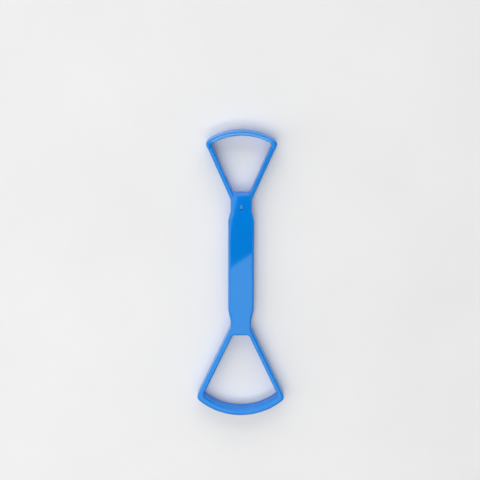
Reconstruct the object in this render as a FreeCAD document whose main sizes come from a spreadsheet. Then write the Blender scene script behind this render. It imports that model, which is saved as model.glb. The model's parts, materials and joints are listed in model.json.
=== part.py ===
import FreeCAD, Part
import Sketcher
import math
import os

# A double-ended tongue scraper. A moulded handle takes a plug-in head at each end.
# Each head is a fan-shaped frame whose curved rim carries a scraping lip on the front and another
# on the back, so the tool has four scraping edges.
# Lengths are millimetres. X runs across the tool, +Y points to the small head, and +Z points out of
# the front. The tool lies on its back at z = 0, with the origin under the middle of its length.

SIZES = {
    # the whole tool
    "thickness": 7.0,
    "edge_round": 1.4,
    "seam_chamfer": 0.04,
    # the handle, from the large head to the small one
    "large_neck_length": 2.5,
    "large_shoulder_length": 4.9,
    "grip_length": 42.0,
    "small_shoulder_length": 4.5,
    "small_neck_length": 4.2,
    "grip_width": 11.7,
    "shoulder_round": 4.0,
    # the small head, measured from its seam with the handle
    "small_reach": 32.2,
    "small_neck_width": 9.6,
    "small_root_length": 1.2,
    "small_head_width": 32.4,
    "small_arc_radius": 28.0,
    "small_arm_width": 2.2,
    "small_rim_width": 2.0,
    "small_crossbar": 3.7,
    "small_corner_round": 2.0,
    "small_foot_round": 1.0,
    "small_lip_end": 3.3,
    # the large head, measured the same way
    "large_reach": 44.1,
    "large_neck_width": 9.5,
    "large_root_length": 1.2,
    "large_head_width": 41.4,
    "large_arc_radius": 29.5,
    "large_arm_width": 2.4,
    "large_rim_width": 3.4,
    "large_crossbar": 4.6,
    "large_corner_round": 2.6,
    "large_foot_round": 1.2,
    "large_lip_end": 4.4,
    # rounds inside and beside the loops
    "flare_round": 4.0,
    "opening_round": 0.9,
    "opening_corner_round": 1.0,
    # the tang of a head and its snap catch
    "tang_width": 6.4,
    "tang_height": 3.2,
    "tang_length": 11.0,
    "tang_tip_chamfer": 0.4,
    "tang_clearance": 0.05,
    "socket_end_gap": 0.5,
    "catch_setback": 0.7,
    "catch_slot": 0.5,
    "catch_width": 2.8,
    "catch_length": 7.0,
    "catch_thickness": 1.1,
    "barb_width": 1.3,
    "barb_length": 2.0,
    "barb_height": 1.75,
    "barb_slope": 0.35,
    "window_clearance": 0.1,
    # the scraping lips and the tongue that holds each one in its rim
    "lip_height": 1.6,
    "lip_clearance": 0.02,
    "tongue_width": 0.8,
    "tongue_depth": 0.9,
    "tongue_setback": 4.0,
    "blade_land": 0.6,
    "blade_slope": 0.3,
    "blade_round": 0.45,
    "tooth_pitch": 1.6,
    "tooth_width": 1.1,
    "tooth_depth": 0.8,
    "wave_pitch": 3.6,
    "wave_width": 2.6,
    "wave_floor": 1.0,
    "wave_depth": 0.8,
    "notch_end_margin": 4.4,
}

# How far a cutting profile runs past the solid that it cuts.
OVERRUN = 1.0
# The most of the width of an arm or a rim that the rounds on its outer and its opening side take up.
OUTER_SHARE = 0.56
OPENING_SHARE = 0.36
# The most of a lip's height that a round on it takes up.
LIP_SHARE = 0.8
# The most of a blade's land that the round on its outer edge takes up.
BLADE_SHARE = 0.8
# At a shallow bend a round may have this many times the length of the straight run beside it.
BEND_REACH = 4
# The share of the rim's angle that the inner arc spans as first drawn.
OPENING_SPAN = 0.9
HALF_TURN = 180
NEAR = 1e-4

ORIGIN = (-1, 1)
VERTICAL_AXIS = -2
START, END, CENTRE = 1, 2, 3

doc = FreeCAD.newDocument("tongue_scraper")


def add_sheet():
    sheet = doc.addObject("Spreadsheet::Sheet", "sizes")
    for row, (alias, value) in enumerate(SIZES.items(), 1):
        sheet.set("A%d" % row, alias)
        sheet.set("B%d" % row, str(value))
        sheet.setAlias("B%d" % row, alias)
    doc.recompute()


# Formulas that several pieces share.

HANDLE_LENGTH = (
    "(sizes.large_neck_length + sizes.large_shoulder_length + sizes.grip_length"
    " + sizes.small_shoulder_length + sizes.small_neck_length)"
)
HALF_LENGTH = "((sizes.large_reach + %s + sizes.small_reach) / 2)" % HANDLE_LENGTH
WALLS = [f"sizes.{head}_{wall}_width" for head in ("small", "large") for wall in ("arm", "rim")]
EDGE_ROUND = "min(sizes.edge_round; %s; %s * sizes.lip_height)" % (
    "; ".join(f"{OUTER_SHARE} * {wall}" for wall in WALLS), LIP_SHARE)
TANG_TOP = "(sizes.thickness + sizes.tang_height) / 2"
CATCH_START = "(sizes.catch_setback + sizes.catch_slot)"


def opening_round(head):
    arm, rim = [f"{OPENING_SHARE} * sizes.{head}_{wall}_width" for wall in ("arm", "rim")]
    return f"min(sizes.opening_round; {arm}; {rim})"


def seam_of(head):
    """Y of the seam with the handle, in the head's own frame with its arc centred on the origin."""
    return f"(sizes.{head}_arc_radius - sizes.{head}_reach)"


# Helpers for bodies, sketches and features.

def new_body(name):
    body = doc.addObject("PartDesign::Body", name)
    body.Label = name
    return body


def origin_feature(body, role):
    return next(feature for feature in body.Origin.OriginFeatures if feature.Role == role)


def sketch_on(body, name, plane, offset=None):
    """A sketch on one of the body's origin planes, or moved along that plane's normal by offset."""
    sketch = body.newObject("Sketcher::SketchObject", name)
    sketch.AttachmentSupport = [(origin_feature(body, plane), "")]
    sketch.MapMode = "FlatFace"
    if offset:
        sketch.setExpression("AttachmentOffset.Base.z", offset)
    return sketch


def drawn_size(sketch, kind, where):
    """What a dimension measures on the sketch as it is drawn so far."""
    if kind == "Radius":
        return sketch.Geometry[where[0]].Radius
    first = sketch.getPoint(where[0], where[1])
    if kind == "Distance":
        return first.distanceToLine(sketch.getPoint(where[2], START), edge_direction(sketch, where[2]))
    second = sketch.getPoint(where[2], where[3])
    return second.x - first.x if kind == "DistanceX" else second.y - first.y


def edge_direction(sketch, number):
    return sketch.getPoint(number, END) - sketch.getPoint(number, START)


def drive(sketch, name, formula, kind, *where):
    """Add a dimension as it is drawn, and tie it to the sheet."""
    number = sketch.addConstraint(Sketcher.Constraint(kind, *where, drawn_size(sketch, kind, where)))
    sketch.renameConstraint(number, name)
    sketch.setExpression("Constraints." + name, formula)


def polygon(sketch, corners):
    """A closed outline of straight lines, each corner placed by a formula for x and one for y."""
    count = len(corners)
    turn = 2 * math.pi / count
    start = [FreeCAD.Vector(math.cos(i * turn), math.sin(i * turn), 0) for i in range(count)]
    lines = [sketch.addGeometry(Part.LineSegment(start[i], start[(i + 1) % count])) for i in range(count)]
    for i, (x, y) in enumerate(corners):
        sketch.addConstraint(Sketcher.Constraint("Coincident", lines[i - 1], END, lines[i], START))
        drive(sketch, "x%d" % i, x, "DistanceX", *ORIGIN, lines[i], START)
        drive(sketch, "y%d" % i, y, "DistanceY", *ORIGIN, lines[i], START)


def rectangle(sketch, left, right, bottom, top):
    polygon(sketch, [(left, bottom), (right, bottom), (right, top), (left, top)])


def add_feature(body, kind, name, profile=None, **formulas):
    feature = body.newObject("PartDesign::" + kind, name)
    if profile:
        feature.Profile = profile
    for prop, formula in formulas.items():
        feature.setExpression(prop, formula)
    return feature


def must_change_volume(body, feature, before, grows):
    """Recompute, and stop if a cut removed nothing or an added form added nothing."""
    doc.recompute()
    change = feature.Shape.Volume - before
    if (change > NEAR) != grows or abs(change) < NEAR:
        raise RuntimeError("%s of %s changed the volume by %.4f" % (feature.Label, body.Label, change))


def cut(body, name, profile, through=False, both_ways=False, reverse=False, **formulas):
    before = body.Shape.Volume
    pocket = add_feature(body, "Pocket", name, profile, **formulas)
    if through:
        pocket.Type = "ThroughAll"
    if both_ways:
        pocket.SideType = "Symmetric"
    pocket.Reversed = reverse
    must_change_volume(body, pocket, before, grows=False)
    return pocket


def turn_about_arc(body, kind, name, profile, angle, grows):
    """Revolve a profile in the YZ plane evenly to both sides of it, about the centre of the arc."""
    before = body.Shape.Volume
    feature = add_feature(body, kind, name, profile, Angle=angle)
    feature.ReferenceAxis = (origin_feature(body, "Z_Axis"), [""])
    feature.Midplane = True
    must_change_volume(body, feature, before, grows)
    return feature


def dress(body, kind, name, base, wanted, **formulas):
    """Round or chamfer the edges of the base feature for which wanted(edge) is true."""
    edges = ["Edge%d" % i for i, edge in enumerate(base.Shape.Edges, 1) if wanted(edge)]
    if not edges:
        raise RuntimeError("%s of %s found no edge" % (name, body.Label))
    feature = body.newObject("PartDesign::" + kind, name)
    feature.Base = (base, edges)
    for prop, formula in formulas.items():
        feature.setExpression(prop, formula)
    doc.recompute()
    return feature


# Tests that pick edges by where they lie.

def upright_at(edge, places):
    """True for an edge along Z that stands over one of the (x, y) places."""
    box = edge.BoundBox
    if box.XLength > NEAR or box.YLength > NEAR:
        return False
    return any(math.hypot(box.XMin - x, box.YMin - y) < NEAR for x, y in places)


def along_rim(edge, radius):
    """True for an arc of that radius about the centre of a head's rim."""
    if not isinstance(edge.Curve, Part.Circle):
        return False
    centre = edge.Curve.Center
    return math.hypot(centre.x, centre.y) < NEAR and abs(edge.Curve.Radius - radius) < NEAR


def lies_at(edge, axis, level):
    """True for an edge that lies in the plane where the given axis has that level."""
    box = edge.BoundBox
    low, high = {"y": (box.YMin, box.YMax), "z": (box.ZMin, box.ZMax)}[axis]
    return abs(low - level) < NEAR and abs(high - level) < NEAR


# The handle: a flat bar with a shoulder, a neck and a socket at each end.

def make_handle():
    body = new_body("handle")
    heights = [
        "0",
        "sizes.large_neck_length",
        "sizes.large_neck_length + sizes.large_shoulder_length",
        "%s - sizes.small_neck_length - sizes.small_shoulder_length" % HANDLE_LENGTH,
        "%s - sizes.small_neck_length" % HANDLE_LENGTH,
        HANDLE_LENGTH,
    ]
    widths = ["large_neck_width"] * 2 + ["grip_width"] * 2 + ["small_neck_width"] * 2
    right = [("sizes.%s / 2" % width, height) for width, height in zip(widths, heights)]
    left = [("-sizes.%s / 2" % width, height) for width, height in zip(widths, heights)]
    outline = sketch_on(body, "handle_outline", "XY_Plane")
    polygon(outline, right + left[::-1])
    bar = add_feature(body, "Pad", "handle_bar", outline, Length="sizes.thickness")
    doc.recompute()

    box = bar.Shape.BoundBox
    ends = (box.YMin, box.YMax)
    thickness = box.ZMax
    shoulders = dress(
        body, "Fillet", "handle_shoulders", bar,
        lambda edge: edge.BoundBox.ZLength > NEAR and ends[0] + NEAR < edge.BoundBox.YMin < ends[1] - NEAR,
        Radius=f"min(sizes.shoulder_round; {BEND_REACH} * sizes.large_neck_length;"
        f" {BEND_REACH} * sizes.small_neck_length)",
    )
    rounded = dress(
        body, "Fillet", "handle_edges", shoulders,
        lambda edge: edge.BoundBox.YLength > NEAR
        and any(lies_at(edge, "z", level) for level in (0, thickness)),
        Radius=EDGE_ROUND,
    )
    dress(
        body, "Chamfer", "handle_seams", rounded,
        lambda edge: any(lies_at(edge, "y", level) for level in ends),
        Size="sizes.seam_chamfer",
    )
    add_socket(body, "large", "0", reverse=False, window_in_front=False)
    add_socket(body, "small", HANDLE_LENGTH, reverse=True, window_in_front=True)
    body.setExpression("Placement.Base.y", "sizes.large_reach - " + HALF_LENGTH)
    return body


def add_socket(body, head, end, reverse, window_in_front):
    """Cut the socket for a head's tang into one end of the handle, and the window for its catch."""
    half_width = "(sizes.tang_width / 2 + sizes.tang_clearance)"
    half_height = "(sizes.tang_height / 2 + sizes.tang_clearance)"
    mouth = sketch_on(body, head + "_socket_mouth", "XZ_Plane", "-(%s)" % end)
    rectangle(
        mouth, "-" + half_width, half_width,
        "sizes.thickness / 2 - " + half_height, "sizes.thickness / 2 + " + half_height,
    )
    cut(
        body, head + "_socket", mouth, reverse=reverse,
        Length="sizes.tang_length + sizes.socket_end_gap",
    )
    inward = "-" if reverse else "+"
    near = f"{end} {inward} ({CATCH_START} - sizes.window_clearance)"
    far = f"{end} {inward} ({CATCH_START} + sizes.barb_length + sizes.window_clearance)"
    half_window = "(sizes.barb_width / 2 + sizes.window_clearance)"
    window = sketch_on(body, head + "_window_outline", "XY_Plane", "sizes.thickness / 2")
    rectangle(window, "-" + half_window, half_window, near, far)
    cut(body, head + "_window", window, through=True, reverse=window_in_front)


# The heads. Each one is drawn about the centre of its arc, with +Y towards the middle of the rim.

def fan_places(head):
    """The corners of the fan as drawn at first, before the dimensions place them."""
    size = {key: SIZES[f"{head}_{key}"] for key in (
        "arc_radius", "reach", "neck_width", "root_length", "head_width", "rim_width", "crossbar")}
    radius = size["arc_radius"]
    seam = radius - size["reach"]
    neck = size["neck_width"] / 2
    corner = size["head_width"] / 2
    return {
        "seam": (neck, seam),
        "flare": (neck, seam + size["root_length"]),
        "corner": (corner, math.sqrt(radius ** 2 - corner ** 2)),
        "crossbar": (neck / 2, seam + size["crossbar"]),
        "radius": radius,
        "inner_radius": radius - size["rim_width"],
    }


def line(sketch, first, second, construction=False):
    ends = [FreeCAD.Vector(x, y, 0) for x, y in (first, second)]
    return sketch.addGeometry(Part.LineSegment(*ends), construction)


def arc(sketch, radius, half_angle, construction=False):
    """An arc about the origin, from the right of +Y to the left of it."""
    circle = Part.Circle(FreeCAD.Vector(0, 0, 0), FreeCAD.Vector(0, 0, 1), radius)
    middle = math.pi / 2
    curve = Part.ArcOfCircle(circle, middle - half_angle, middle + half_angle)
    number = sketch.addGeometry(curve, construction)
    sketch.addConstraint(Sketcher.Constraint("Coincident", number, CENTRE, *ORIGIN))
    sketch.addConstraint(Sketcher.Constraint("Symmetric", number, START, number, END, VERTICAL_AXIS))
    return number


def close_loop(sketch, pieces):
    for i, piece in enumerate(pieces):
        sketch.addConstraint(Sketcher.Constraint("Coincident", pieces[i - 1], END, piece, START))


def mirrored(place):
    return (-place[0], place[1])


def draw_fan(sketch, head, construction=False):
    """Draw the fan: seam, necks, arms and rim."""
    places = fan_places(head)
    seam, flare, corner = places["seam"], places["flare"], places["corner"]
    base = line(sketch, mirrored(seam), seam, construction)
    right_neck = line(sketch, seam, flare, construction)
    right_arm = line(sketch, flare, corner, construction)
    rim = arc(sketch, places["radius"], math.asin(corner[0] / places["radius"]), construction)
    left_arm = line(sketch, mirrored(corner), mirrored(flare), construction)
    left_neck = line(sketch, mirrored(flare), mirrored(seam), construction)
    close_loop(sketch, [base, right_neck, right_arm, rim, left_arm, left_neck])
    sketch.addConstraint(Sketcher.Constraint("Symmetric", base, START, base, END, VERTICAL_AXIS))
    sketch.addConstraint(Sketcher.Constraint("Symmetric", right_neck, END, left_neck, START, VERTICAL_AXIS))
    sketch.addConstraint(Sketcher.Constraint("Vertical", right_neck))
    drive(sketch, "arc_radius", f"sizes.{head}_arc_radius", "Radius", rim)
    drive(sketch, "head_width", f"sizes.{head}_head_width", "DistanceX", rim, END, rim, START)
    drive(sketch, "neck_width", f"sizes.{head}_neck_width", "DistanceX", base, START, base, END)
    drive(sketch, "root_length", f"sizes.{head}_root_length", "DistanceY", right_neck, START, right_neck, END)
    drive(sketch, "seam", "-" + seam_of(head), "DistanceY", base, START, *ORIGIN)
    return base, right_arm


def draw_opening(sketch, head, base, right_arm):
    """Draw the hole of the loop, with its sides parallel to the arms."""
    places = fan_places(head)
    foot = places["crossbar"]
    inner_radius = places["inner_radius"]
    half_angle = math.asin(places["corner"][0] / places["radius"]) * OPENING_SPAN
    shoulder = (inner_radius * math.sin(half_angle), inner_radius * math.cos(half_angle))
    crossbar = line(sketch, mirrored(foot), foot)
    right_side = line(sketch, foot, shoulder)
    inner_rim = arc(sketch, inner_radius, half_angle)
    left_side = line(sketch, mirrored(shoulder), mirrored(foot))
    close_loop(sketch, [crossbar, right_side, inner_rim, left_side])
    sketch.addConstraint(Sketcher.Constraint("Symmetric", crossbar, START, crossbar, END, VERTICAL_AXIS))
    sketch.addConstraint(Sketcher.Constraint("Parallel", right_arm, right_side))
    drive(sketch, "arm_width", f"sizes.{head}_arm_width", "Distance", crossbar, END, right_arm)
    drive(sketch, "inner_radius", f"sizes.{head}_arc_radius - sizes.{head}_rim_width", "Radius", inner_rim)
    drive(sketch, "crossbar", f"sizes.{head}_crossbar", "DistanceY", base, START, crossbar, START)


def arm_directions(head):
    """A point on the right arm's outer line, the way along it to the rim, and the way into the opening."""
    places = fan_places(head)
    flare = FreeCAD.Vector(*places["flare"], 0)
    along = (FreeCAD.Vector(*places["corner"], 0) - flare).normalize()
    return flare, along, FreeCAD.Vector(-along.y, along.x, 0)


def meet_circle(start, along, radius):
    """Where a line from start reaches the circle of that radius about the origin."""
    middle = start.dot(along)
    return start + along * (math.sqrt(middle ** 2 - start.dot(start) + radius ** 2) - middle)


def lip_places(head, overrun=0):
    """The corners at the right end of a lip as drawn at first: where the opening's side meets the inner
    rim, the lip's end on the opening's side and on the outer side, and the fan's corner. An overrun
    widens the lip on both sides."""
    places = fan_places(head)
    flare, along, inwards = arm_directions(head)
    outer_line = flare - inwards * overrun
    inner_line = flare + inwards * (SIZES[f"{head}_arm_width"] + overrun)
    shoulder = meet_circle(inner_line, along, places["inner_radius"] - overrun)
    corner = meet_circle(outer_line, along, places["radius"] + overrun)
    end = along.dot(FreeCAD.Vector(*places["corner"], 0) - flare) - SIZES[f"{head}_lip_end"]
    inside = inner_line + along * end
    outside = outer_line + along * end
    return [(point.x, point.y) for point in (shoulder, inside, outside, corner)]


def draw_lip(sketch, head, end, overrun=0):
    """Draw the strip that a lip covers: the rim and the ends of the arms, cut off square at a distance,
    named end, from the fan's corners. An overrun widens it on both sides."""
    _, right_arm = draw_fan(sketch, head, construction=True)
    places = fan_places(head)
    shoulder, inside, outside, corner = lip_places(head, overrun)
    right_side = line(sketch, shoulder, inside)
    right_end = line(sketch, inside, outside)
    right_edge = line(sketch, outside, corner)
    outer_rim = arc(sketch, places["radius"] + overrun, math.atan2(*corner))
    left_edge = line(sketch, mirrored(corner), mirrored(outside))
    left_end = line(sketch, mirrored(outside), mirrored(inside))
    left_side = line(sketch, mirrored(inside), mirrored(shoulder))
    inner_rim = arc(sketch, places["inner_radius"] - overrun, math.atan2(*shoulder))
    chain = [right_side, right_end, right_edge, outer_rim, left_edge, left_end, left_side]
    for piece, following in zip(chain, chain[1:]):
        sketch.addConstraint(Sketcher.Constraint("Coincident", piece, END, following, START))
    sketch.addConstraint(Sketcher.Constraint("Coincident", left_side, END, inner_rim, END))
    sketch.addConstraint(Sketcher.Constraint("Coincident", inner_rim, START, right_side, START))
    sketch.addConstraint(Sketcher.Constraint("Parallel", right_side, right_arm))
    sketch.addConstraint(Sketcher.Constraint("Perpendicular", right_end, right_arm))
    sketch.addConstraint(Sketcher.Constraint("Parallel", right_edge, right_arm))
    sketch.addConstraint(Sketcher.Constraint("Symmetric", right_end, START, left_end, END, VERTICAL_AXIS))
    sketch.addConstraint(Sketcher.Constraint("Symmetric", right_end, END, left_end, START, VERTICAL_AXIS))
    arm_width = f"sizes.{head}_arm_width + {overrun}"
    inner_radius = f"sizes.{head}_arc_radius - sizes.{head}_rim_width - {overrun}"
    drive(sketch, "end", end, "Distance", right_arm, END, right_end)
    drive(sketch, "arm_width", arm_width, "Distance", right_side, START, right_arm)
    drive(sketch, "inner_radius", inner_radius, "Radius", inner_rim)
    drive(sketch, "outer_radius", f"sizes.{head}_arc_radius + {overrun}", "Radius", outer_rim)
    if overrun:
        sketch.addConstraint(Sketcher.Constraint("Distance", right_end, END, right_arm, overrun))
    else:
        sketch.addConstraint(Sketcher.Constraint("PointOnObject", right_end, END, right_arm))


def round_corners(body, head, name, base):
    """Round the fan's two corners, and then those where the opening's sides meet the inner rim."""
    shoulder, _, _, corner = lip_places(head)
    outer = dress(
        body, "Fillet", name + "_corners", base, lambda edge: upright_at(edge, [corner, mirrored(corner)]),
        Radius=f"sizes.{head}_corner_round",
    )
    return dress(
        body, "Fillet", name + "_opening_corners", outer,
        lambda edge: upright_at(edge, [shoulder, mirrored(shoulder)]),
        Radius="sizes.opening_corner_round",
    )


def make_frame(head):
    body = new_body(head + "_head_frame")
    outline = sketch_on(body, head + "_fan", "XY_Plane")
    base, right_arm = draw_fan(outline, head)
    draw_opening(outline, head, base, right_arm)
    fan = add_feature(body, "Pad", head + "_fan_pad", outline, Length="sizes.thickness")
    doc.recompute()

    places = fan_places(head)
    crossbar_level = places["crossbar"][1]
    thickness = SIZES["thickness"]
    flared = dress(
        body, "Fillet", head + "_flares", fan,
        lambda edge: upright_at(edge, [places["flare"], mirrored(places["flare"])]),
        Radius=f"min(sizes.flare_round; {BEND_REACH} * sizes.{head}_root_length)",
    )
    rounded = round_corners(body, head, head, flared)
    footed = dress(
        body, "Fillet", head + "_opening_feet", rounded,
        lambda edge: edge.BoundBox.ZLength > NEAR and abs(edge.BoundBox.YMin - crossbar_level) < NEAR,
        Radius=f"sizes.{head}_foot_round",
    )
    round_frame_edges(body, head, footed, places, thickness)
    cut_lip_seats(body, head)
    add_tang(body, head)
    flip = head == "large"
    place_on_tool(body, head, flip, height="sizes.thickness" if flip else "0")
    return body


def cut_lip_seats(body, head):
    """Lower the rim at the front and the back, and cut the groove for each lip's tongue."""
    middle = f"(sizes.{head}_arc_radius - sizes.{head}_rim_width / 2)"
    levels = {
        "back": ("sizes.lip_height", "sizes.lip_height + sizes.tongue_depth"),
        "front": (
            "sizes.thickness - sizes.lip_height",
            "sizes.thickness - sizes.lip_height - sizes.tongue_depth",
        ),
    }
    for side, (seat, groove_floor) in levels.items():
        outline = sketch_on(body, f"{head}_{side}_seat_outline", "XY_Plane", seat)
        draw_lip(outline, head, f"sizes.{head}_lip_end", OVERRUN)
        cut(body, f"{head}_{side}_seat", outline, through=True, reverse=side == "front")
        groove_profile = sketch_on(body, f"{head}_{side}_groove_profile", "YZ_Plane")
        rectangle(
            groove_profile, middle + " - sizes.tongue_width / 2", middle + " + sizes.tongue_width / 2",
            groove_floor, seat)
        turn_about_arc(
            body, "Groove", f"{head}_{side}_groove", groove_profile, tongue_angle(head, "0"), grows=False)


def tongue_angle(head, clearance):
    """The angle that a tongue or its groove spans, ending short of the frame's corners."""
    reach = f"sizes.{head}_head_width / 2 - sizes.tongue_setback - {clearance}"
    return f"2 * asin(({reach}) / sizes.{head}_arc_radius)"


def round_frame_edges(body, head, base, places, thickness):
    """Round the long edges of the fan and of its opening, and chamfer the seam."""
    seam_level = places["seam"][1]
    half_arm = SIZES[f"{head}_arm_width"] / 2
    flare, _, inwards = arm_directions(head)

    def on_face(edge):
        at_seam = lies_at(edge, "y", seam_level)
        return not at_seam and any(lies_at(edge, "z", level) for level in (0, thickness))

    def beside_opening(edge):
        middle = edge.valueAt((edge.FirstParameter + edge.LastParameter) / 2)
        depth = inwards.dot(FreeCAD.Vector(abs(middle.x), middle.y, 0) - flare)
        return depth > half_arm and not along_rim(edge, places["radius"])

    outer = dress(
        body, "Fillet", head + "_outer_edges", base,
        lambda edge: on_face(edge) and not beside_opening(edge),
        Radius=EDGE_ROUND,
    )
    inner = dress(
        body, "Fillet", head + "_opening_edges", outer,
        lambda edge: on_face(edge) and beside_opening(edge),
        Radius=opening_round(head),
    )
    dress(
        body, "Chamfer", head + "_seam", inner, lambda edge: lies_at(edge, "y", seam_level),
        Size="sizes.seam_chamfer",
    )


def add_tang(body, head):
    """Add the tang that plugs into the handle, with a sprung catch cut free in its front face."""
    seam = seam_of(head)
    profile = sketch_on(body, head + "_tang_profile", "XZ_Plane", "-" + seam)
    rectangle(
        profile, "-sizes.tang_width / 2", "sizes.tang_width / 2",
        "(sizes.thickness - sizes.tang_height) / 2", TANG_TOP,
    )
    before = body.Shape.Volume
    tang = add_feature(body, "Pad", head + "_tang", profile, Length="sizes.tang_length")
    must_change_volume(body, tang, before, grows=True)
    tip_level = fan_places(head)["seam"][1] - SIZES["tang_length"]
    dress(
        body, "Chamfer", head + "_tang_tip", tang, lambda edge: lies_at(edge, "y", tip_level),
        Size="sizes.tang_tip_chamfer",
    )

    finger = "sizes.catch_width / 2"
    slot = "(sizes.catch_width / 2 + sizes.catch_slot)"
    gap_start = f"{seam} - sizes.catch_setback"
    free_end = f"{seam} - {CATCH_START}"
    root = f"{seam} - {CATCH_START} - sizes.catch_length"
    slots = sketch_on(body, head + "_catch_slots", "XY_Plane")
    polygon(slots, [
        ("-" + slot, root), ("-" + slot, gap_start), (slot, gap_start), (slot, root),
        (finger, root), (finger, free_end), ("-" + finger, free_end), ("-" + finger, root),
    ])
    cut(body, head + "_catch_cut", slots, through=True, both_ways=True)
    under = sketch_on(body, head + "_catch_underside", "XY_Plane")
    rectangle(under, "-" + finger, finger, root, free_end)
    cut(body, head + "_catch_relief", under, reverse=True, Length=f"{TANG_TOP} - sizes.catch_thickness")

    side = sketch_on(body, head + "_barb_side", "YZ_Plane")
    barb_top = f"{TANG_TOP} + sizes.barb_height"
    barb_end = free_end + " - sizes.barb_length"
    polygon(side, [
        (free_end, TANG_TOP), (free_end, barb_top),
        (barb_end, barb_top + " - sizes.barb_slope"), (barb_end, TANG_TOP),
    ])
    before = body.Shape.Volume
    barb = add_feature(body, "Pad", head + "_barb", side, Length="sizes.barb_width")
    barb.SideType = "Symmetric"
    must_change_volume(body, barb, before, grows=True)


def place_on_tool(body, head, flip, height):
    """Put a head's piece at its end of the tool. A flipped piece has its front turned to the back."""
    if head == "small":
        body.Placement.Rotation = FreeCAD.Rotation(FreeCAD.Vector(0, 1, 0), HALF_TURN if flip else 0)
        body.setExpression("Placement.Base.y", f"{HALF_LENGTH} - sizes.small_arc_radius")
    else:
        axis = FreeCAD.Vector(1, 0, 0) if flip else FreeCAD.Vector(0, 0, 1)
        body.Placement.Rotation = FreeCAD.Rotation(axis, HALF_TURN)
        body.setExpression("Placement.Base.y", f"sizes.large_arc_radius - {HALF_LENGTH}")
    body.setExpression("Placement.Base.z", height)


# The lips. Each one is drawn with its seat at z = 0 and its scraping edge above it.

def make_lip(head, side, shape_edge):
    body = new_body(f"{head}_head_{side}_lip")
    outline = sketch_on(body, f"{head}_{side}_strip", "XY_Plane")
    draw_lip(outline, head, f"sizes.{head}_lip_end - sizes.lip_clearance")
    strip = add_feature(body, "Pad", f"{head}_{side}_strip_pad", outline, Length="sizes.lip_height")
    doc.recompute()
    cornered = round_corners(body, head, f"{head}_{side}_strip", strip)
    dress(
        body, "Chamfer", f"{head}_{side}_strip_seam", cornered, lambda edge: lies_at(edge, "z", 0),
        Size="sizes.seam_chamfer",
    )
    tongued = add_tongue(body, head, side)
    shape_edge(body, head, side, tongued)
    flip = side == "back"
    seat_height = "sizes.lip_height" if flip else "sizes.thickness - sizes.lip_height"
    place_on_tool(body, head, flip, seat_height)
    return body


def add_tongue(body, head, side):
    """Add the rib under a lip that sits in the groove of the rim."""
    middle = f"(sizes.{head}_arc_radius - sizes.{head}_rim_width / 2)"
    half_width = "(sizes.tongue_width / 2 - sizes.lip_clearance)"
    profile = sketch_on(body, f"{head}_{side}_tongue_profile", "YZ_Plane")
    rectangle(
        profile, f"{middle} - {half_width}", f"{middle} + {half_width}",
        "sizes.lip_clearance - sizes.tongue_depth", "0",
    )
    return turn_about_arc(
        body, "Revolution", f"{head}_{side}_tongue", profile,
        tongue_angle(head, "sizes.lip_clearance"), grows=True)


def round_lip(body, head, side, base, outer_round, inner_round):
    """Round the outer edge of a lip, which runs on round its corners, and then its inner edge."""
    places = fan_places(head)
    above_seat = SIZES["lip_height"] / 2
    outer = dress(
        body, "Fillet", f"{head}_{side}_outer_edge", base,
        lambda edge: edge.BoundBox.ZMin > above_seat and along_rim(edge, places["radius"]),
        Radius=outer_round,
    )
    return dress(
        body, "Fillet", f"{head}_{side}_inner_edge", outer,
        lambda edge: edge.BoundBox.ZMin > above_seat and along_rim(edge, places["inner_radius"]),
        Radius=inner_round,
    )


def smooth_edge(body, head, side, base):
    """One plain bead, rounded as the arms are."""
    round_lip(body, head, side, base, EDGE_ROUND, opening_round(head))


def blade_edge(body, head, side, base):
    """A narrow land along the outside of the rim, with a face inside it that slopes down to the opening."""
    inner_radius = fan_places(head)["inner_radius"]
    sloped = dress(
        body, "Chamfer", f"{head}_{side}_slope", base,
        lambda edge: lies_at(edge, "z", SIZES["lip_height"]) and along_rim(edge, inner_radius),
        Size="sizes.blade_slope", Size2=f"sizes.{head}_rim_width - sizes.blade_land",
    )
    sloped.ChamferType = "Two distances"
    doc.recompute()
    blade_round = f"min(sizes.blade_round; {BLADE_SHARE} * sizes.blade_land)"
    round_lip(body, head, side, sloped, blade_round, blade_round)


def notched(body, head, side, base, style, corners):
    """A rounded bead with notches across it, spread evenly from the middle to both ends."""
    smooth_edge(body, head, side, base)
    profile = sketch_on(body, f"{head}_{side}_notch_profile", "XZ_Plane")
    polygon(profile, corners)
    first = cut(body, f"{head}_{side}_notch", profile, through=True)
    step = f"(sizes.{style}_pitch / sizes.{head}_arc_radius * 180 / pi)"
    reach = f"asin((sizes.{head}_head_width / 2 - sizes.notch_end_margin) / sizes.{head}_arc_radius) / 1 deg"
    for direction in ("right", "left"):
        before = body.Shape.Volume
        pattern = body.newObject("PartDesign::PolarPattern", f"{head}_{side}_notches_{direction}")
        pattern.Originals = [first]
        pattern.Axis = (origin_feature(body, "Z_Axis"), [""])
        pattern.Mode = "Spacing"
        pattern.Reversed = direction == "right"
        pattern.setExpression("Offset", step + " * 1 deg")
        pattern.setExpression("Occurrences", f"floor({reach} / {step}) + 1")
        body.Tip = pattern
        must_change_volume(body, pattern, before, grows=False)


def toothed_edge(body, head, side, base):
    """Fine pointed teeth."""
    top = f"sizes.lip_height + {OVERRUN}"
    notched(body, head, side, base, "tooth", [
        ("-sizes.tooth_width / 2", "sizes.lip_height"),
        ("0", "sizes.lip_height - sizes.tooth_depth"),
        ("sizes.tooth_width / 2", "sizes.lip_height"),
        ("sizes.tooth_width / 2", top),
        ("-sizes.tooth_width / 2", top),
    ])


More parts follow.
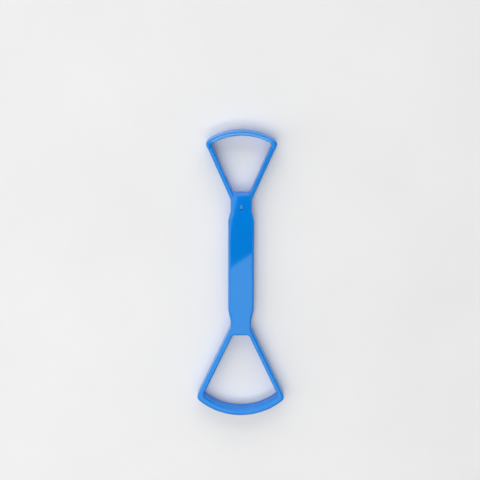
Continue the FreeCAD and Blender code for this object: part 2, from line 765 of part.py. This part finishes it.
def wavy_edge(body, head, side, base):
    """Broad shallow waves."""
    top = f"sizes.lip_height + {OVERRUN}"
    floor_half = "sizes.wave_floor / 2"
    notched(body, head, side, base, "wave", [
        ("-sizes.wave_width / 2", "sizes.lip_height"),
        ("-" + floor_half, "sizes.lip_height - sizes.wave_depth"),
        (floor_half, "sizes.lip_height - sizes.wave_depth"),
        ("sizes.wave_width / 2", "sizes.lip_height"),
        ("sizes.wave_width / 2", top),
        ("-sizes.wave_width / 2", top),
    ])


def check_and_write(bodies):
    """Stop on any failed object or bad solid, then write one file for each piece."""
    doc.recompute()
    for item in doc.Objects:
        if "Invalid" in item.State or "Error" in item.State:
            raise RuntimeError("%s failed: %s" % (item.Label, item.State))
    for body in bodies:
        shape = body.Shape
        if shape.isNull() or not shape.isValid() or len(shape.Solids) != 1:
            raise RuntimeError("%s is not one good solid" % body.Label)
    os.makedirs("parts", exist_ok=True)
    for body in bodies:
        body.Shape.exportStep("parts/%s.step" % body.Label)
        box = body.Shape.BoundBox
        print("%-22s volume %8.2f  y %7.2f to %7.2f  z %5.2f to %5.2f" % (
            body.Label, body.Shape.Volume, box.YMin, box.YMax, box.ZMin, box.ZMax))


add_sheet()
check_and_write([
    make_handle(),
    make_frame("small"),
    make_lip("small", "front", blade_edge),
    make_lip("small", "back", toothed_edge),
    make_frame("large"),
    make_lip("large", "front", smooth_edge),
    make_lip("large", "back", wavy_edge),
])
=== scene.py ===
import json
import math

import bpy
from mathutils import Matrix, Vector


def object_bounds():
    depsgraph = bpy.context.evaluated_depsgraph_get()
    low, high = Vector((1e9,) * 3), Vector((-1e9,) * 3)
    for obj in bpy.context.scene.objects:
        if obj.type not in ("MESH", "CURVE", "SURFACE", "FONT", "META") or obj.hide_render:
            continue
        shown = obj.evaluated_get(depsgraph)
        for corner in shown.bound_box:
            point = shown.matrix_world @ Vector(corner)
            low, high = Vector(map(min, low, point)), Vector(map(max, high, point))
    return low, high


# The looks of a double-ended tongue scraper moulded in glossy blue plastic, lying on a pale table.
# Lengths are metres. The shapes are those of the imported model, so this script adds finishes, light,
# the table and the camera.

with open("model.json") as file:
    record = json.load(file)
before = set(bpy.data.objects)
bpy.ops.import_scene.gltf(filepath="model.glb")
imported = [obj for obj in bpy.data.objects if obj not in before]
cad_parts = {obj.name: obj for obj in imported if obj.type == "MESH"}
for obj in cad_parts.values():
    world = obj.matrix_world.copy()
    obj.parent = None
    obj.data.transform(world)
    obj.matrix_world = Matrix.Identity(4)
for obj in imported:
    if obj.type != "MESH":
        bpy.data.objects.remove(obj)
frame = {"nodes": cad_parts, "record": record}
cad_low, cad_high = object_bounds()

MM = 0.001
TOP = cad_high.z

# Colours are linear, as the shaders take them.
BLUE = (0.0, 0.215, 0.74, 1.0)
DEEP_BLUE = (0.0, 0.20, 0.70, 1.0)
SHINE = (0.62, 1.0, 0.87, 1.0)
PALE_FLOOR = (0.86, 0.86, 0.86, 1.0)
FLOOR_SHADE = (0.83, 0.83, 0.83, 1.0)
AMBIENT = (0.18, 0.18, 0.18, 1.0)
SKY = (0.06, 0.06, 0.06, 1.0)
PALE_HORIZON = (0.84, 0.84, 0.84, 1.0)

# A noise lies mostly between these two values.
NOISE_LOW = 0.3
NOISE_HIGH = 0.7

# The plastic's refraction, and its colour clouds, smudges, orange peel and marks along the tool.
PLASTIC_IOR = 1.49
CLOUD_SIZE = 14 * MM
SMUDGE_SIZE = 5 * MM
SMUDGE_DETAIL = 6.0
PEEL_SIZE = 1.4 * MM
PEEL_DEPTH = 0.0004 * MM
MARK_SIZE = 0.18 * MM
MARK_DEPTH = 0.0001 * MM
MARK_DETAIL = 2.0
MARK_STRETCH = (1.0, 30.0, 1.0)

# The table lies just under the tool, and fades into the background between two distances from it.
TABLE_HALF_WIDTH = 3.0
TABLE_GAP = 0.05 * MM
TABLE_ROUGHNESS = 0.75
TABLE_SPECULAR = 0.2
MOTTLE_SIZE = 60 * MM
MOTTLE_DETAIL = 4.0
FADE_START = 0.18
FADE_END = 0.55

# The room's walls are pale below one angle above the horizon, and dim above the other.
PALE_BELOW = math.radians(15)
DIM_ABOVE = math.radians(35)

# Lamps hang level at this height above the tool's front, most of them with this radiance.
LAMP_HEIGHT = 0.8
LAMP_RADIANCE = 2.3


# Shader helpers.

def new_material(name):
    material = bpy.data.materials.new(name)
    material.use_nodes = True
    tree = material.node_tree
    return material, tree, tree.nodes["Principled BSDF"]


def noise(tree, size, detail=3.0, stretch=(1.0, 1.0, 1.0)):
    """A noise in the part's own frame whose features are about size metres, longer along a stretch."""
    place = tree.nodes.new("ShaderNodeTexCoord")
    mapping = tree.nodes.new("ShaderNodeMapping")
    mapping.inputs["Scale"].default_value = [1.0 / (size * axis) for axis in stretch]
    texture = tree.nodes.new("ShaderNodeTexNoise")
    texture.inputs["Scale"].default_value = 1.0
    texture.inputs["Detail"].default_value = detail
    tree.links.new(place.outputs["Object"], mapping.inputs["Vector"])
    tree.links.new(mapping.outputs["Vector"], texture.inputs["Vector"])
    return texture.outputs["Fac"]


def between(tree, value, low, high):
    """Spread a noise over the range from low to high."""
    node = tree.nodes.new("ShaderNodeMapRange")
    node.inputs["From Min"].default_value = NOISE_LOW
    node.inputs["From Max"].default_value = NOISE_HIGH
    node.inputs["To Min"].default_value = low
    node.inputs["To Max"].default_value = high
    tree.links.new(value, node.inputs["Value"])
    return node.outputs["Result"]


def fade(tree, value, start, end):
    """0 at start and before it, 1 at end and past it, and a smooth change between the two."""
    node = tree.nodes.new("ShaderNodeMapRange")
    node.interpolation_type = "SMOOTHSTEP"
    node.inputs["From Min"].default_value = start
    node.inputs["From Max"].default_value = end
    tree.links.new(value, node.inputs["Value"])
    return node.outputs["Result"]


def mix_colours(tree, value, first, second):
    """Go from the first colour to the second, each given or worked out, as the value goes from 0 to 1."""
    node = tree.nodes.new("ShaderNodeMix")
    node.data_type = "RGBA"
    tree.links.new(value, node.inputs["Factor"])
    for name, colour in (("A", first), ("B", second)):
        if isinstance(colour, bpy.types.NodeSocket):
            tree.links.new(colour, node.inputs[name])
        else:
            node.inputs[name].default_value = colour
    return node.outputs["Result"]


def calculate(tree, operation, first, second):
    node = tree.nodes.new("ShaderNodeMath")
    node.operation = operation
    tree.links.new(first, node.inputs[0])
    tree.links.new(second, node.inputs[1])
    return node.outputs["Value"]


def seen_or_mirrored(tree):
    """1 for what the camera sees, also in a mirror or through glass, and 0 for light that is only cast."""
    path = tree.nodes.new("ShaderNodeLightPath")
    seen = path.outputs["Is Camera Ray"]
    for ray in ("Is Glossy Ray", "Is Transmission Ray"):
        seen = calculate(tree, "MAXIMUM", seen, path.outputs[ray])
    return seen


def bump(tree, height, depth, under=None):
    """Turn a height into a normal, on top of another normal if one is given."""
    node = tree.nodes.new("ShaderNodeBump")
    node.inputs["Strength"].default_value = 1.0
    node.inputs["Distance"].default_value = depth
    tree.links.new(height, node.inputs["Height"])
    if under:
        tree.links.new(under, node.inputs["Normal"])
    return node.outputs["Normal"]


# Materials.

def moulded_plastic(name, smooth, rough):
    """Glossy moulded plastic: faint clouds of colour, smudges, a trace of orange peel and fine marks."""
    material, tree, shader = new_material(name)
    shader.inputs["IOR"].default_value = PLASTIC_IOR
    shader.inputs["Specular Tint"].default_value = SHINE
    clouds = between(tree, noise(tree, CLOUD_SIZE), 0.0, 1.0)
    tree.links.new(mix_colours(tree, clouds, BLUE, DEEP_BLUE), shader.inputs["Base Color"])
    smudges = between(tree, noise(tree, SMUDGE_SIZE, SMUDGE_DETAIL), smooth, rough)
    tree.links.new(smudges, shader.inputs["Roughness"])
    peel = bump(tree, noise(tree, PEEL_SIZE), PEEL_DEPTH)
    marks = noise(tree, MARK_SIZE, MARK_DETAIL, MARK_STRETCH)
    tree.links.new(bump(tree, marks, MARK_DEPTH, peel), shader.inputs["Normal"])
    return material


def table_top():
    """A pale matt table with a faint mottle, which runs out into the pale background."""
    material, tree, shader = new_material("pale_table")
    mottle = between(tree, noise(tree, MOTTLE_SIZE, MOTTLE_DETAIL), 0.0, 1.0)
    tree.links.new(mix_colours(tree, mottle, PALE_FLOOR, FLOOR_SHADE), shader.inputs["Base Color"])
    shader.inputs["Roughness"].default_value = TABLE_ROUGHNESS
    shader.inputs["Specular IOR Level"].default_value = TABLE_SPECULAR
    place = tree.nodes.new("ShaderNodeTexCoord")
    distance = tree.nodes.new("ShaderNodeVectorMath")
    distance.operation = "LENGTH"
    tree.links.new(place.outputs["Object"], distance.inputs[0])
    far = fade(tree, distance.outputs["Value"], FADE_START, FADE_END)
    glow = tree.nodes.new("ShaderNodeEmission")
    glow.inputs["Color"].default_value = PALE_HORIZON
    mix = tree.nodes.new("ShaderNodeMixShader")
    tree.links.new(calculate(tree, "MULTIPLY", far, seen_or_mirrored(tree)), mix.inputs["Fac"])
    tree.links.new(shader.outputs["BSDF"], mix.inputs[1])
    tree.links.new(glow.outputs["Emission"], mix.inputs[2])
    tree.links.new(mix.outputs["Shader"], tree.nodes["Material Output"].inputs["Surface"])
    return material


def finish_pieces():
    """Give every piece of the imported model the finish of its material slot."""
    finishes = {
        "handle_plastic": moulded_plastic("handle_gloss", smooth=0.02, rough=0.04),
        "frame_plastic": moulded_plastic("frame_gloss", smooth=0.02, rough=0.05),
        "lip_plastic": moulded_plastic("lip_gloss", smooth=0.05, rough=0.09),
    }
    for subpart in frame["record"]["subparts"]:
        piece = frame["nodes"][subpart["node"]]
        piece.data.materials.clear()
        piece.data.materials.append(finishes[subpart["material_slot"]])


# The stage.

def add_floor():
    half = TABLE_HALF_WIDTH
    corners = [(-half, -half, 0), (half, -half, 0), (half, half, 0), (-half, half, 0)]
    mesh = bpy.data.meshes.new("floor")
    mesh.from_pydata(corners, [], [range(len(corners))])
    floor = bpy.data.objects.new("floor", mesh)
    floor.location.z = cad_low.z - TABLE_GAP
    floor.data.materials.append(table_top())
    bpy.context.scene.collection.objects.link(floor)


def add_sky():
    """An even soft light. The camera and reflections see a dim room with pale walls near the horizon."""
    world = bpy.data.worlds.new("studio")
    bpy.context.scene.world = world
    world.use_nodes = True
    tree = world.node_tree
    place = tree.nodes.new("ShaderNodeTexCoord")
    split = tree.nodes.new("ShaderNodeSeparateXYZ")
    tree.links.new(place.outputs["Generated"], split.inputs["Vector"])
    low = fade(tree, split.outputs["Z"], math.sin(DIM_ABOVE), math.sin(PALE_BELOW))
    room = mix_colours(tree, low, SKY, PALE_HORIZON)
    light = mix_colours(tree, seen_or_mirrored(tree), AMBIENT, room)
    tree.links.new(light, tree.nodes["Background"].inputs["Color"])


def softbox(name, place, width, depth, radiance, target=None, turn=0.0):
    """A rectangular lamp that shines on the target, or straight down, turned about its own axis."""
    lamp = bpy.data.lights.new(name, "AREA")
    lamp.shape = "RECTANGLE"
    lamp.size = width
    lamp.size_y = depth
    lamp.energy = radiance * math.pi * width * depth
    box = bpy.data.objects.new(name, lamp)
    box.location = place
    if target is None:
        box.rotation_euler = (0, 0, turn)
    else:
        box.rotation_euler = (Vector(target) - Vector(place)).to_track_quat("-Z", "Y").to_euler()
    bpy.context.scene.collection.objects.link(box)


def hang_by_edge(name, edge_point, slant, along, width):
    """Hang a lamp level above the tool, by one long edge that the flat front mirrors as a sharp line.

    The edge runs through edge_point at an angle of slant from +X, over the range along of distances
    from that point, and the lamp reaches from it by width to the right of that direction."""
    run = Vector((math.cos(slant), math.sin(slant), 0))
    side = Vector((run.y, -run.x, 0))
    start, end = along
    middle = Vector((*edge_point, TOP + LAMP_HEIGHT)) + run * (start + end) / 2 + side * width / 2
    softbox(name, middle, end - start, width, LAMP_RADIANCE, turn=slant)


def add_side_lamps():
    """Large lamps that stand round the tool and face it."""
    # The one on the left is the stronger, so that the left edges are lighter along the whole tool.
    softbox("key", (-0.65, -0.15, 0.55), width=0.6, depth=1.6, radiance=1.5, target=(0, -0.15, TOP))
    softbox("fill", (0.9, -0.1, 0.45), width=0.4, depth=1.2, radiance=0.3, target=(0, -0.1, TOP))
    # Behind the small head, for the walls that face away from the large one.
    softbox("back", (0.0, 0.9, 0.4), width=1.6, depth=0.75, radiance=2.1, target=(0, 0, TOP))


def add_hanging_lamps():
    """Lamps above the tool, which its front mirrors."""
    # The lower half of the tool mirrors this lamp, whose edge shows slantwise half way along the handle.
    hang_by_edge("overhead", (0.0, -0.2187), slant=math.radians(36), along=(-0.6, 0.05), width=0.3)
    # The left half of the small head and of its neck mirrors this one.
    hang_by_edge("upper_left", (-0.0048, -0.152), slant=math.radians(257.6), along=(-0.45, 0.07), width=0.25)
    # The sloping face of the small front lip mirrors a brighter strip, hung below the overhead lamp.
    drop = 0.03
    softbox("front", (0.0, -0.434, TOP + LAMP_HEIGHT - drop), width=0.75, depth=0.058, radiance=3.3)
    # The right edges of the lower half mirror this one.
    softbox("right", (0.42, -0.32, TOP + LAMP_HEIGHT), width=0.7, depth=0.16, radiance=LAMP_RADIANCE)


def add_camera():
    """A camera that looks down on the tool, leaning towards its small head."""
    tilt = math.radians(14.8)
    turn = math.radians(0.2)
    distance = 0.566
    pixel = 0.45 * MM
    image_width = 480
    aim = Vector((-0.56 * MM, 17.8 * MM, TOP))
    towards_camera = Vector((
        -math.sin(turn) * math.sin(tilt),
        math.cos(turn) * math.sin(tilt),
        math.cos(tilt),
    ))
    lens = bpy.data.cameras.new("camera")
    lens.sensor_fit = "HORIZONTAL"
    lens.lens = lens.sensor_width * distance / (pixel * image_width)
    camera = bpy.data.objects.new("camera", lens)
    camera.location = aim + distance * towards_camera
    camera.rotation_euler = (-tilt, 0, turn)
    bpy.context.scene.collection.objects.link(camera)
    bpy.context.scene.camera = camera


finish_pieces()
add_floor()
add_sky()
add_side_lamps()
add_hanging_lamps()
add_camera()
bpy.context.scene.view_settings.view_transform = "Standard"
